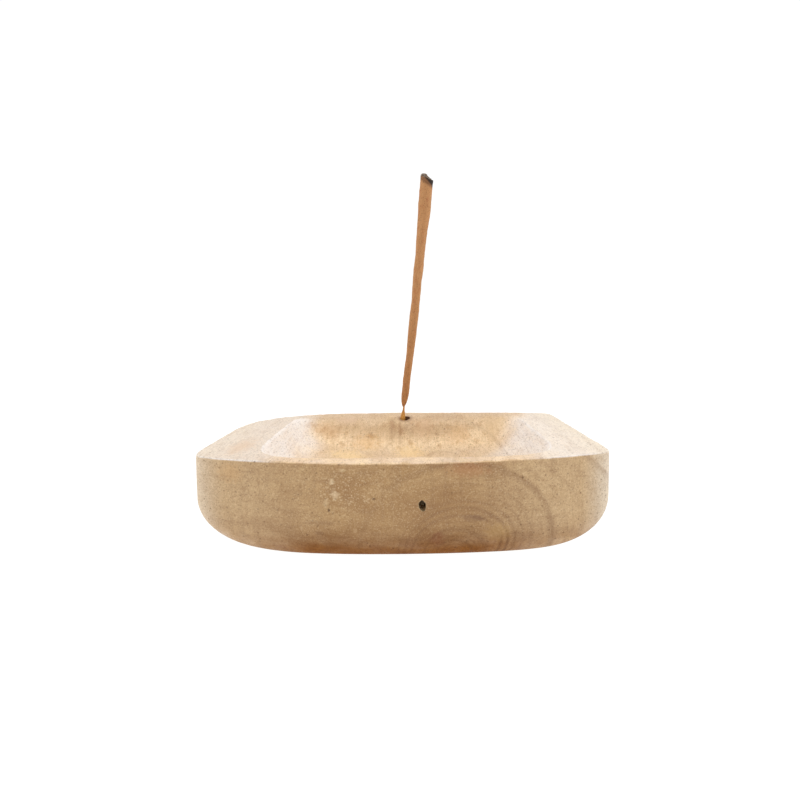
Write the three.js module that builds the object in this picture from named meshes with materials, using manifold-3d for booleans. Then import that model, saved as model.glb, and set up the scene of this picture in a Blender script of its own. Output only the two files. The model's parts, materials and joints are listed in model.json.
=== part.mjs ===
// Incense burner: one block of pale wood with a hollow that catches the ash, and a half-burnt, hand-rolled
// incense stick that leans forward out of a hole at the back of the hollow.
// Millimetres, +Z up. The front is -Y. The origin is on the table, under the middle of the block.
import * as THREE from 'three';
import { ParametricGeometry } from 'three/addons/geometries/ParametricGeometry.js';
import { mergeVertices } from 'three/addons/utils/BufferGeometryUtils.js';
import Module from 'manifold-3d';

// The block.
const HALF_WIDTH = 60;
const WAIST_Y = -4.5; // the block is widest across this line
const FRONT_REACH = 50.8; // from that line to the front
const BACK_REACH = 59.5;
const BLOCK_HEIGHT = 29.1;
const SIDE_FOOT = 15.9; // the sides stand upright above this height and curve under below it
const RIM_ROUND = 0.8; // radius of the eased top edge
const FRONT_BOW = 0.263; // share of the reach that the front edge falls back at its ends
const BACK_BOW = 0.074;
const BACK_SKEW = 2.2; // the back edge is this much further back at its left end, and less at its right
const RIM_POWERS = { frontLeft: 13, frontRight: 18, backRight: 26, backLeft: 3.5 };

// The flat face that the block stands on, smaller than the rim and measured from the same line.
const FOOT_LEFT = 38.1;
const FOOT_RIGHT = 44.5;
const FOOT_FRONT = 34;
const FOOT_BACK = 36.9;
const FOOT_POWER = 5.3;

// The hollow.
const HOLLOW_CENTRE = new THREE.Vector2(1.5, 1.4);
const HOLLOW_SIDE = 44; // half width between the two ridges
const HOLLOW_FRONT = 48.1;
const HOLLOW_BACK = 49.5;
const HOLLOW_DEPTH = 13.5;
const WALL_REACH = 20; // how far in from its ridge a wall runs before it is level with the floor
const WALL_CURVE = 2.57; // the wall starts at 60 degrees and flattens by this power
const SHOULDER = 8; // gentle slope behind the stick, before the back wall turns steep
const SHOULDER_DROP = 0.8;
const FLOOR_SAG = 0.3; // extra depth at the middle of the floor
const RIDGE_POWERS = { frontLeft: 5, frontRight: 5, backRight: 6.5, backLeft: 8 };
const FLOOR_POWER = 3; // the corners grow rounder from the ridge down to the floor

// A beetle's bore hole in the front face.
const PIN_HOLE = { x: 5.7, z: 17.6, width: 2, height: 3, depth: 6, lean: 10 };

// The stick, in its own frame: the origin is where its axis leaves the wood and +Z runs up the stick.
const STICK_FOOT = new THREE.Vector3(0.15, 44.9, 28.2);
const LEAN_RIGHT = 6.4;
const LEAN_FORWARD = 10;
const BORE_RADIUS = 1.3;
const BORE_DEPTH = 11;
const MOUTH_RADIUS = 2.1; // the hole's broken-out mouth
const MOUTH_DEPTH = 1.8;
const MOUTH_SHIFT = 0.9; // the mouth is broken out towards +X
const GAP = 0.3; // left between pieces that touch

// The splint: its butt fills the hole, it narrows to a neck just above the wood, then runs on inside the paste.
const SPLINT_END = -BORE_DEPTH + GAP;
const BUTT_RADIUS = 0.95;
const NECK_RADIUS = 0.4;
const NECK_HEIGHT = 3.7;
const CORE_RADIUS = 0.45;
const CORE_TOP = 92.2;

// The paste, and the burnt end above it.
const PASTE_FOOT = 4.4;
const PASTE_TOP = 88;
const TIP_TOP = 95.2;
const TIP_ROUND = 2.6; // height of the domed end
const FOOT_RADIUS = 0.95;
const LOW_RADIUS = 1.45; // just above the tapered foot
const HIGH_RADIUS = 2.35; // at the thickest, below the burnt end
const FOOT_TAPER = 8; // height of the tapered foot
const BURN_LINE = { height: 91.2, tilt: 30 }; // where the paste turns to char, on the axis, lower towards +X
const ASH_LINE = { height: 92.7, tilt: 14 };
const TIP_CUT = { height: 93.6, tilt: 44 };

// How finely the faces are cut.
const BLOCK_SEGMENTS = 120;
const UNDERCUT_STEPS = 8;
const HOLLOW_STEPS = 13;
const STICK_SEGMENTS = 20;
const PASTE_STEPS = 14;
const TIP_STEPS = 4;

const wasm = await Module();
wasm.setup();

const UP = new THREE.Vector3(0, 0, 1);
const stickDirection = new THREE.Vector3(
  Math.tan(THREE.MathUtils.degToRad(LEAN_RIGHT)),
  -Math.tan(THREE.MathUtils.degToRad(LEAN_FORWARD)),
  1,
).normalize();
const stickTurn = new THREE.Quaternion().setFromUnitVectors(UP, stickDirection);
const stickFrame = new THREE.Matrix4().compose(STICK_FOOT, stickTurn, new THREE.Vector3(1, 1, 1));

// A three.js geometry as a manifold-3d solid. Triangles that close up to a line at a pole are dropped.
function toSolid(geometry) {
  const bare = new THREE.BufferGeometry();
  bare.setAttribute('position', geometry.getAttribute('position').clone());
  if (geometry.index) {
    bare.setIndex(geometry.index.clone());
  }
  const merged = mergeVertices(bare, 1e-4);
  const corners = [];
  for (let i = 0; i < merged.index.count; i += 3) {
    const [a, b, c] = [0, 1, 2].map((k) => merged.index.getX(i + k));
    if (a !== b && b !== c && c !== a) {
      corners.push(a, b, c);
    }
  }
  const vertProperties = new Float32Array(merged.getAttribute('position').array);
  return new wasm.Manifold(new wasm.Mesh({ numProp: 3, vertProperties, triVerts: new Uint32Array(corners) }));
}

function toGeometry(solid) {
  const mesh = solid.getMesh();
  const geometry = new THREE.BufferGeometry();
  geometry.setAttribute('position', new THREE.BufferAttribute(mesh.vertProperties, 3));
  geometry.setIndex(new THREE.BufferAttribute(mesh.triVerts, 1));
  geometry.computeVertexNormals();
  return geometry;
}

// The value for the corner that an angle points at, where powers differ from corner to corner.
function atCorner(angle, corners) {
  const front = Math.sin(angle) < 0;
  const left = Math.cos(angle) < 0;
  if (front) {
    return left ? corners.frontLeft : corners.frontRight;
  }
  return left ? corners.backLeft : corners.backRight;
}

// The point of a superellipse in the direction of angle: a rounded rectangle, squarer as power grows.
function superEllipse(angle, halfX, halfY, power) {
  const c = Math.cos(angle);
  const s = Math.sin(angle);
  const radius = ((Math.abs(c) / halfX) ** power + (Math.abs(s) / halfY) ** power) ** (-1 / power);
  return new THREE.Vector2(radius * c, radius * s);
}

// The block's outline at the rim: straight sides, a bowed front edge and a slightly askew back edge.
function rimOutline(angle, inset = 0) {
  const back = Math.sin(angle) > 0;
  const reach = back ? BACK_REACH : FRONT_REACH;
  const square = superEllipse(angle, HALF_WIDTH - inset, reach - inset, atCorner(angle, RIM_POWERS));
  const across = square.x / HALF_WIDTH;
  const bow = back ? BACK_BOW : FRONT_BOW;
  const skew = back ? -BACK_SKEW * across * (square.y / reach) : 0;
  return new THREE.Vector2(square.x, WAIST_Y + square.y * (1 - bow * across * across) + skew);
}

function footOutline(angle) {
  const halfX = Math.cos(angle) < 0 ? FOOT_LEFT : FOOT_RIGHT;
  const halfY = Math.sin(angle) < 0 ? FOOT_FRONT : FOOT_BACK;
  const point = superEllipse(angle, halfX, halfY, FOOT_POWER);
  return point.setY(WAIST_Y + point.y);
}

// The hollow's outline at a depth below the rim.
function hollowOutline(angle, depth) {
  const inset = WALL_REACH * (1 - Math.max(0, 1 - depth / HOLLOW_DEPTH) ** (1 / WALL_CURVE));
  const shoulder = SHOULDER * (1 - Math.exp(-depth / SHOULDER_DROP));
  const halfY = Math.sin(angle) < 0 ? HOLLOW_FRONT - inset : HOLLOW_BACK - inset - shoulder;
  const power = THREE.MathUtils.lerp(atCorner(angle, RIDGE_POWERS), FLOOR_POWER, depth / HOLLOW_DEPTH);
  return superEllipse(angle, HOLLOW_SIDE - inset, halfY, power).add(HOLLOW_CENTRE);
}

// Rings that wrap the block from under its foot, up the side, over the rim and down into the hollow.
function blockRings() {
  const rings = [];
  const ring = (outline, z) => rings.push((angle) => {
    const point = outline(angle);
    return new THREE.Vector3(point.x, point.y, z);
  });
  ring(() => new THREE.Vector2(0, WAIST_Y), 0);
  for (let i = 0; i <= UNDERCUT_STEPS; i += 1) {
    const turn = (i / UNDERCUT_STEPS) * (Math.PI / 2);
    ring((a) => footOutline(a).lerp(rimOutline(a), Math.sin(turn)), SIDE_FOOT * (1 - Math.cos(turn)));
  }
  for (let i = 0; i <= 2; i += 1) {
    const turn = (i / 2) * (Math.PI / 2);
    const inset = RIM_ROUND * (1 - Math.cos(turn));
    ring((a) => rimOutline(a, inset), BLOCK_HEIGHT - RIM_ROUND * (1 - Math.sin(turn)));
  }
  for (let i = 0; i <= HOLLOW_STEPS; i += 1) {
    const share = (i / HOLLOW_STEPS) ** 2;
    const depth = HOLLOW_DEPTH * (1 - (1 - share) ** WALL_CURVE);
    ring((a) => hollowOutline(a, depth), BLOCK_HEIGHT - depth);
  }
  ring(() => HOLLOW_CENTRE, BLOCK_HEIGHT - HOLLOW_DEPTH - FLOOR_SAG);
  return rings;
}

function block() {
  const rings = blockRings();
  const steps = rings.length - 1;
  const surface = (u, v, target) => {
    const angle = (Math.round(u * BLOCK_SEGMENTS) % BLOCK_SEGMENTS) * ((2 * Math.PI) / BLOCK_SEGMENTS);
    target.copy(rings[Math.round(v * steps)](angle));
  };
  return toSolid(new ParametricGeometry(surface, BLOCK_SEGMENTS, steps));
}

// A solid turned about Z from points [radius, height] that start and end on the axis.
function turned(profile, segments = STICK_SEGMENTS) {
  const points = profile.map(([radius, height]) => new THREE.Vector2(radius, height));
  return new THREE.LatheGeometry(points, segments).rotateX(Math.PI / 2);
}

function stickBore() {
  return toSolid(turned([
    [0, -BORE_DEPTH],
    [BORE_RADIUS, -BORE_DEPTH],
    [BORE_RADIUS, MOUTH_DEPTH],
    [0, MOUTH_DEPTH],
  ]).applyMatrix4(stickFrame));
}

function stickMouth() {
  return toSolid(turned([
    [0, -MOUTH_DEPTH],
    [BORE_RADIUS, -MOUTH_DEPTH],
    [MOUTH_RADIUS, 0],
    [MOUTH_RADIUS, MOUTH_DEPTH],
    [0, MOUTH_DEPTH],
  ]).translate(MOUTH_SHIFT, 0, 0).applyMatrix4(stickFrame));
}

function pinHole() {
  const hole = new THREE.CylinderGeometry(0.5, 0.5, PIN_HOLE.depth * 2, STICK_SEGMENTS);
  hole.scale(PIN_HOLE.width, 1, PIN_HOLE.height);
  hole.rotateY(THREE.MathUtils.degToRad(-PIN_HOLE.lean));
  hole.translate(PIN_HOLE.x, WAIST_Y - FRONT_REACH, PIN_HOLE.z);
  return toSolid(hole);
}

function dish() {
  return toGeometry(block().subtract(stickBore()).subtract(stickMouth()).subtract(pinHole()));
}

function splint() {
  return turned([
    [0, SPLINT_END],
    [BUTT_RADIUS, SPLINT_END],
    [BUTT_RADIUS, 0.4],
    [(BUTT_RADIUS + NECK_RADIUS) / 2, NECK_HEIGHT / 2],
    [NECK_RADIUS, NECK_HEIGHT],
    [CORE_RADIUS, PASTE_FOOT + FOOT_TAPER / 2],
    [CORE_RADIUS, CORE_TOP],
    [0, CORE_TOP],
  ]);
}

// The rolled paste's radius at a height: a short tapered foot, then a slow swell towards the top.
function pasteRadius(height) {
  const taper = Math.min(1, (height - PASTE_FOOT) / FOOT_TAPER);
  const swell = THREE.MathUtils.clamp((height - PASTE_FOOT) / (PASTE_TOP - PASTE_FOOT), 0, 1);
  const body = THREE.MathUtils.lerp(LOW_RADIUS, HIGH_RADIUS, 0.4 * swell + 0.6 * swell ** 5);
  return THREE.MathUtils.lerp(FOOT_RADIUS, body, Math.sin((taper * Math.PI) / 2));
}

// The whole rolled stick as it would be without its splint: paste, char and ash in one.
function rolledStick() {
  const profile = [[0, PASTE_FOOT]];
  for (let i = 0; i <= PASTE_STEPS; i += 1) {
    const height = THREE.MathUtils.lerp(PASTE_FOOT, PASTE_TOP, (i / PASTE_STEPS) ** 1.5);
    profile.push([pasteRadius(height), height]);
  }
  profile.push([HIGH_RADIUS, TIP_TOP - TIP_ROUND]);
  for (let i = 1; i <= TIP_STEPS; i += 1) {
    const turn = (i / TIP_STEPS) * (Math.PI / 2);
    profile.push([i < TIP_STEPS ? HIGH_RADIUS * Math.cos(turn) : 0, TIP_TOP - TIP_ROUND * (1 - Math.sin(turn))]);
  }
  return toSolid(turned(profile));
}

function splintChannel() {
  const top = CORE_TOP + GAP;
  return toSolid(turned([
    [0, PASTE_FOOT - 1],
    [CORE_RADIUS + GAP, PASTE_FOOT - 1],
    [CORE_RADIUS + GAP, top],
    [0, top],
  ]));
}

// Everything on one side of a plane that crosses the stick's axis at a height and falls towards +X.
function sideOf(line, shift, above) {
  const size = 2 * TIP_TOP;
  const slab = new THREE.BoxGeometry(size, size, size);
  slab.translate(0, 0, above ? size / 2 : -size / 2);
  slab.rotateY(THREE.MathUtils.degToRad(line.tilt));
  slab.translate(0, 0, line.height + shift);
  return toSolid(slab);
}

function burntParts() {
  const rolled = rolledStick().subtract(splintChannel());
  const half = GAP / 2;
  const paste = rolled.intersect(sideOf(BURN_LINE, -half, false));
  const burnt = rolled.intersect(sideOf(TIP_CUT, 0, false));
  const char = burnt.intersect(sideOf(BURN_LINE, half, true)).intersect(sideOf(ASH_LINE, -half, false));
  const ash = burnt.intersect(sideOf(ASH_LINE, half, true));
  return { paste: toGeometry(paste), char: toGeometry(char), ash: toGeometry(ash) };
}

function piece(name, geometry, color, roughness) {
  const mesh = new THREE.Mesh(geometry, new THREE.MeshStandardMaterial({ color, roughness, metalness: 0 }));
  mesh.name = name;
  return mesh;
}

function incenseStick() {
  const { paste, char, ash } = burntParts();
  const group = new THREE.Group();
  group.position.copy(STICK_FOOT);
  group.quaternion.copy(stickTurn);
  group.add(piece('splint', splint(), 0xc08a35, 0.6));
  group.add(piece('incense_paste', paste, 0xb48258, 0.9));
  group.add(piece('charred_collar', char, 0x2b211d, 0.95));
  group.add(piece('ash_tip', ash, 0x7d6e64, 1));
  return group;
}

const incenseBurner = new THREE.Group();
incenseBurner.add(piece('dish', dish(), 0xc9a67c, 0.65));
incenseBurner.add(incenseStick());

export default incenseBurner;
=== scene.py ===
"""Incense burner: a block of pale wood with an ash hollow, and a half-burnt, hand-rolled incense stick.

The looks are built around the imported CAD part. Shapes are worked out in millimetres in the part's own
frame, with the front at -Y and +Z up, and stored in metres.
"""

import json
import math

import bmesh
import bpy
import numpy as np
from mathutils import Matrix, Vector, noise


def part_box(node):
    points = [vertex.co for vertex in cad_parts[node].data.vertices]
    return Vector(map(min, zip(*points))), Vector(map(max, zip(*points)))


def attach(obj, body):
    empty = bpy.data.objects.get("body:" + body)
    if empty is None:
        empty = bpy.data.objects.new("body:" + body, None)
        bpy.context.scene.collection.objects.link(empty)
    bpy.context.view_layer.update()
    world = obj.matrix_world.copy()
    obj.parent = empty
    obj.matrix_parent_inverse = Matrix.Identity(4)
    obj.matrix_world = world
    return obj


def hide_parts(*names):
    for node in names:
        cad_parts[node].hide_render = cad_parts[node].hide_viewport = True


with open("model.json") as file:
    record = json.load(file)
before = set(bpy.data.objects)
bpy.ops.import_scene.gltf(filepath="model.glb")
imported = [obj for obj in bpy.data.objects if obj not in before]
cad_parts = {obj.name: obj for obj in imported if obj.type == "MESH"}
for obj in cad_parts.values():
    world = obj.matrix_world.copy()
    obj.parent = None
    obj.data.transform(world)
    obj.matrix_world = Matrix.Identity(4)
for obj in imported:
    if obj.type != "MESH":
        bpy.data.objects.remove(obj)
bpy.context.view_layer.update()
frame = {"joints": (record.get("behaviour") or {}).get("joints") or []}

MM = 0.001
TURN = 2 * math.pi

# The block, as the CAD part has it.
HALF_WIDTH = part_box("dish")[1].x / MM
BLOCK_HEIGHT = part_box("dish")[1].z / MM
FRONT_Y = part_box("dish")[0].y / MM
WAIST_Y = -4.5
FRONT_REACH = WAIST_Y - FRONT_Y
BACK_REACH = 59.5
SIDE_FOOT = 15.9
RIM_ROUND = 0.8
FRONT_BOW = 0.263
BACK_BOW = 0.074
BACK_SKEW = 2.2
RIM_POWERS = {"front_left": 13, "front_right": 18, "back_right": 26, "back_left": 3.5}
FOOT_LEFT = 38.1
FOOT_RIGHT = 44.5
FOOT_FRONT = 34
FOOT_BACK = 36.9
FOOT_POWER = 5.3

# The hollow.
HOLLOW_CENTRE = (1.5, 1.4)
HOLLOW_SIDE = 44
HOLLOW_FRONT = 48.1
HOLLOW_BACK = 49.5
HOLLOW_DEPTH = 13.5
WALL_REACH = 20
WALL_CURVE = 2.57
SHOULDER = 8
SHOULDER_DROP = 0.8
FLOOR_SAG = 0.3
RIDGE_POWERS = {"front_left": 5, "front_right": 5, "back_right": 6.5, "back_left": 8}
FLOOR_POWER = 3

# A beetle's bore hole in the front face: x, z, width, height, depth, lean in degrees.
PIN_X, PIN_Z, PIN_WIDTH, PIN_HEIGHT, PIN_DEPTH, PIN_LEAN = 5.7, 17.6, 2, 3, 6, 10

# The stick, in its own frame: the origin is where its axis leaves the wood and +Z runs up the stick.
STICK_FOOT = Vector((0.15, 44.9, 28.2))
STICK_DIRECTION = Vector(frame["joints"][0]["axis"]).normalized()
BORE_RADIUS = 1.3
BORE_DEPTH = 11
MOUTH_RADIUS = 2.1
MOUTH_DEPTH = 1.8
MOUTH_SHIFT = 0.9
BUTT_RADIUS = 0.95
NECK_RADIUS = 0.36
NECK_HEIGHT = 3.7
CORE_RADIUS = 0.45
CORE_TOP = 92.2
PASTE_FOOT = 4.7
PASTE_TOP = 88
LOW_RADIUS = 1.45
HIGH_RADIUS = 2.35
TIP_TOP = 95.2
TIP_DOME = 0.9
BUTT_GAP = 0.35

# Where the rolling left the paste thick or thin: height, half length, side in degrees, share of the radius.
PASTE_LUMPS = (
    (80.5, 6.5, 0, 0.12),
    (64.0, 5.0, 180, -0.06),
    (37.0, 8.0, 0, 0.12),
    (24.0, 6.0, 180, -0.09),
)

# Where the paste, the char and the ash end: height on the axis and tilt in degrees, lower towards +X.
BURN_LINE = (91.2, 30)
ASH_LINE = (92.7, 14)
TIP_CUT = (93.6, 44)

# How finely the meshes are cut.
RIM_SAMPLES = 8000
BLOCK_SEGMENTS = 540
FOOT_RINGS = 6
UNDERCUT_RINGS = 24
SIDE_RINGS = 14
RIM_RINGS = 6
FLAT_RINGS = 10
WALL_RINGS = 46
FLOOR_RINGS = 12
HOLE_SEGMENTS = 56
STICK_SEGMENTS = 72
SPLINT_SEGMENTS = 40
PASTE_ROWS = 190
CHAR_ROWS = 16
ASH_ROWS = 12

# How each octave of the meshes' noise follows the one before: weaker and finer.
OCTAVE_STRENGTH = 0.7
OCTAVE_FINENESS = 2.0

# Sanding: how many rings past the flat it reaches down the hollow's wall, and how many passes it makes.
SANDED_WALL_RINGS = 20
SANDING_PASSES = 8
SHARP_EDGE = 38  # degrees

# The studio.
FLOOR_HALF = 4000
FLOOR_TONE = 0.12
FLOOR_GLOW = 0.99
HORIZON_GLOW = 1.04
OVERHEAD_GLOW = 0.45
LIGHT_SIZE = 0.6
LIGHT_TARGET = Vector((0, 0, 0.02))

# The camera: its place, turns in degrees, and lens and sensor in millimetres.
CAMERA_AT = Vector((2.04, -236.64, 64.585)) * MM
CAMERA_YAW = 0.6
CAMERA_PITCH = 5.918
CAMERA_ROLL = -0.754
CAMERA_LENS = 31.59
SENSOR = 36


# ---------------------------------------------------------------------------------------------- meshes

def new_object(name, points, faces, place=None):
    """A smooth-shaded mesh object from points in millimetres."""
    mesh = bpy.data.meshes.new(name)
    mesh.from_pydata([tuple(p) for p in np.asarray(points) * MM], [], faces)
    mesh.polygons.foreach_set("use_smooth", [True] * len(mesh.polygons))
    mesh.update()
    obj = bpy.data.objects.new(name, mesh)
    bpy.context.scene.collection.objects.link(obj)
    if place is not None:
        obj.matrix_world = place
    return obj


def ring_faces(rings, segments, first=0):
    """Quads between rings that follow each other, each ring with the same number of points."""
    faces = []
    for ring in range(rings - 1):
        for i in range(segments):
            j = (i + 1) % segments
            low, high = first + ring * segments, first + (ring + 1) * segments
            faces.append((low + i, low + j, high + j, high + i))
    return faces


def closed_skin(name, start, rings, end, place=None):
    """A closed mesh: a pole, rings of points, and a second pole."""
    count, segments = len(rings), len(rings[0])
    points = np.vstack([[start], np.reshape(rings, (-1, 3)), [end]])
    last = len(points) - 1
    top = 1 + (count - 1) * segments
    faces = ring_faces(count, segments, first=1)
    for i in range(segments):
        j = (i + 1) % segments
        faces.append((0, 1 + j, 1 + i))
        faces.append((last, top + i, top + j))
    return new_object(name, points, faces, place)


def waves(points, size, seed, octaves=2):
    """Smooth noise from -1 to 1 at points in millimetres.

    size is its wavelength, as one number or as one for each axis.
    """
    offset = Vector((seed * 17.3, seed * -9.1, seed * 5.7))
    scale = np.broadcast_to(size, 3)
    places = [Vector(p / scale) + offset for p in np.asarray(points)]
    return np.array([noise.fractal(p, OCTAVE_STRENGTH, OCTAVE_FINENESS, octaves) for p in places])


def vertex_points(obj):
    """The mesh's vertices in millimetres, one row each."""
    flat = np.empty(len(obj.data.vertices) * 3, np.float32)
    obj.data.vertices.foreach_get("co", flat)
    return flat.reshape(-1, 3) / MM


def displace(obj, points, amount):
    """Moves each vertex along its normal by an amount in millimetres."""
    flat = np.empty(len(points) * 3, np.float32)
    obj.data.vertex_normals.foreach_get("vector", flat)
    moved = points + flat.reshape(-1, 3) * np.reshape(amount, (-1, 1))
    obj.data.vertices.foreach_set("co", (moved * MM).astype(np.float32).ravel())
    obj.data.update()


def mark_sharp_edges(obj, degrees):
    """Shades the mesh flat across edges that turn more than an angle, and smooth across the rest."""
    bm = bmesh.new()
    bm.from_mesh(obj.data)
    for edge in bm.edges:
        edge.smooth = len(edge.link_faces) == 2 and edge.calc_face_angle(0) < math.radians(degrees)
    bm.to_mesh(obj.data)
    bm.free()


def cut_away(obj, cutter):
    """Cuts one closed mesh out of another. The cut's walls keep the cutter's material."""
    cut = obj.modifiers.new("cut", "BOOLEAN")
    cut.operation = "DIFFERENCE"
    cut.solver = "EXACT"
    cut.material_mode = "TRANSFER"
    cut.object = cutter
    graph = bpy.context.evaluated_depsgraph_get()
    result = bpy.data.meshes.new_from_object(obj.evaluated_get(graph))
    obj.modifiers.remove(cut)
    obj.data = result
    bpy.data.objects.remove(cutter)


def smooth_step(value, low, high):
    """0 up to low, 1 from high on, and a smooth rise between."""
    t = np.clip((np.asarray(value, float) - low) / (high - low), 0, 1)
    return t * t * (3 - 2 * t)


# ------------------------------------------------------------------------------------------- the block

def at_corner(angle, corners):
    """The value for the corner that each angle points at, where values differ from corner to corner."""
    front = np.sin(angle) < 0
    left = np.cos(angle) < 0
    at_front = np.where(left, corners["front_left"], corners["front_right"])
    at_back = np.where(left, corners["back_left"], corners["back_right"])
    return np.where(front, at_front, at_back)


def super_ellipse(angle, half_x, half_y, power):
    """Points of a rounded rectangle in the directions of angle, squarer as power grows."""
    c, s = np.cos(angle), np.sin(angle)
    radius = ((np.abs(c) / half_x) ** power + (np.abs(s) / half_y) ** power) ** (-1 / power)
    return np.stack([radius * c, radius * s], -1)


def rim_outline(angle, inset=0.0):
    """The block's widest outline: bowed at the front and back, its corners rounded each in its own way."""
    back = np.sin(angle) > 0
    reach = np.where(back, BACK_REACH, FRONT_REACH)
    square = super_ellipse(angle, HALF_WIDTH - inset, reach - inset, at_corner(angle, RIM_POWERS))
    across = square[:, 0] / HALF_WIDTH
    bow = np.where(back, BACK_BOW, FRONT_BOW)
    skew = np.where(back, -BACK_SKEW * across * square[:, 1] / reach, 0)
    return np.stack([square[:, 0], WAIST_Y + square[:, 1] * (1 - bow * across ** 2) + skew], -1)


def foot_outline(angle):
    """The flat foot that the block stands on."""
    half_x = np.where(np.cos(angle) < 0, FOOT_LEFT, FOOT_RIGHT)
    half_y = np.where(np.sin(angle) < 0, FOOT_FRONT, FOOT_BACK)
    return super_ellipse(angle, half_x, half_y, FOOT_POWER) + (0, WAIST_Y)


def hollow_outline(angle, depth):
    """The hollow's wall at a depth below the rim. The back wall drops in from a rounded shoulder."""
    inset = WALL_REACH * (1 - max(0, 1 - depth / HOLLOW_DEPTH) ** (1 / WALL_CURVE))
    shoulder = SHOULDER * (1 - math.exp(-depth / SHOULDER_DROP))
    half_y = np.where(np.sin(angle) < 0, HOLLOW_FRONT - inset, HOLLOW_BACK - inset - shoulder)
    ridge = at_corner(angle, RIDGE_POWERS)
    power = ridge + (FLOOR_POWER - ridge) * depth / HOLLOW_DEPTH
    return super_ellipse(angle, HOLLOW_SIDE - inset, half_y, power) + HOLLOW_CENTRE


def even_angles(count):
    """Angles round the block whose steps along the rim are even, and finer where the rim turns."""
    fine = (np.arange(RIM_SAMPLES) + 0.5) / RIM_SAMPLES * TURN
    points = rim_outline(fine)
    step = np.roll(points, -1, 0) - points
    length = np.hypot(step[:, 0], step[:, 1])
    heading = np.unwrap(np.arctan2(step[:, 1], step[:, 0]))
    turning = np.abs(np.diff(heading, append=heading[0] + TURN))
    weight = length / length.sum() + 0.3 * np.clip(turning, 0, 0.05) / turning.sum()
    along = np.cumsum(weight)
    return np.interp((np.arange(count) + 0.5) / count * along[-1], along, fine)


def level_ring(outline, z):
    """An outline laid level at a height."""
    return np.column_stack([outline, np.full(len(outline), z)])


def outer_rings(angle):
    """Rings from under the foot, up the side and over the rim."""
    rings = []
    foot, rim = foot_outline(angle), rim_outline(angle)
    centre = np.array((0, WAIST_Y))
    for i in range(1, FOOT_RINGS):
        rings.append(level_ring(centre + (foot - centre) * i / FOOT_RINGS, 0))
    for i in range(UNDERCUT_RINGS + 1):
        turn = i / UNDERCUT_RINGS * math.pi / 2
        z = SIDE_FOOT * (1 - math.cos(turn))
        rings.append(level_ring(foot + (rim - foot) * math.sin(turn), z))
    side_top = BLOCK_HEIGHT - RIM_ROUND
    for i in range(1, SIDE_RINGS):
        rings.append(level_ring(rim, SIDE_FOOT + (side_top - SIDE_FOOT) * i / SIDE_RINGS))
    for i in range(RIM_RINGS + 1):
        turn = i / RIM_RINGS * math.pi / 2
        inset = RIM_ROUND * (1 - math.cos(turn))
        rings.append(level_ring(rim_outline(angle, inset), side_top + RIM_ROUND * math.sin(turn)))
    return rings


def inner_rings(angle, edge):
    """Rings from the rim's edge across the flat, down the hollow's wall and over its sagging floor."""
    rings = []
    ridge = hollow_outline(angle, 0)
    for i in range(1, FLAT_RINGS):
        share = 1 - (1 - i / FLAT_RINGS) ** 1.5
        rings.append(level_ring(edge + (ridge - edge) * share, BLOCK_HEIGHT))
    for i in range(WALL_RINGS + 1):
        share = (i / WALL_RINGS) ** 1.6
        depth = HOLLOW_DEPTH * (1 - (1 - share) ** WALL_CURVE)
        rings.append(level_ring(hollow_outline(angle, depth), BLOCK_HEIGHT - depth))
    lowest = rings[-1][:, :2]
    for i in range(1, FLOOR_RINGS):
        share = i / FLOOR_RINGS
        depth = HOLLOW_DEPTH + FLOOR_SAG * share * (2 - share)
        rings.append(level_ring(lowest + (HOLLOW_CENTRE - lowest) * share, BLOCK_HEIGHT - depth))
    return rings


def soften_ridge(rings):
    """Rounds the ridge round the hollow, as sanding does, by smoothing each profile across it."""
    first = FOOT_RINGS + UNDERCUT_RINGS + SIDE_RINGS + RIM_RINGS + 2
    last = first + FLAT_RINGS + SANDED_WALL_RINGS
    for _ in range(SANDING_PASSES):
        middle = (rings[first - 1:last - 1] + rings[first + 1:last + 1]) / 2
        rings[first:last] += 0.5 * (middle - rings[first:last])
    return rings


def weather_block(obj):
    """Slow undulation from hand shaping, softer and uneven edges, and fine raised grain."""
    points = vertex_points(obj)
    standing = smooth_step(points[:, 2], 0.2, 3.0)
    slow = waves(points, (16, 22, 12), 1)
    fine = waves(points, (1.6, 9, 1.6), 2, octaves=3)
    edge = smooth_step(points[:, 2], BLOCK_HEIGHT - 2.2, BLOCK_HEIGHT - 0.3)
    nicks = np.minimum(waves(points, 3.2, 3, octaves=3) - 0.25, 0)
    displace(obj, points, standing * (0.09 * slow + 0.03 * fine + 0.10 * edge * nicks))


def rough_cutter(name, profile, roughness, place, material, stretch=(1, 1)):
    """A closed cutter about Z with an uneven wall.

    Each point of the profile is a radius, a height, and how far the ring's middle stands towards +X.
    """
    angle = np.arange(HOLE_SEGMENTS) / HOLE_SEGMENTS * TURN
    rings = []
    for radius, height, shift in profile:
        level = np.full(HOLE_SEGMENTS, float(height))
        bumps = waves(np.stack([np.cos(angle) * 2, np.sin(angle) * 2, level], -1), 1.4, 7)
        r = radius * (1 + roughness * bumps)
        ring_x = r * np.cos(angle) * stretch[0] + shift
        ring_y = r * np.sin(angle) * stretch[1]
        rings.append(np.stack([ring_x, ring_y, level], -1))
    start, end = rings[0].mean(0), rings[-1].mean(0)
    cutter = closed_skin(name, start, rings, end, place)
    cutter.data.materials.append(material)
    return cutter


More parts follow.
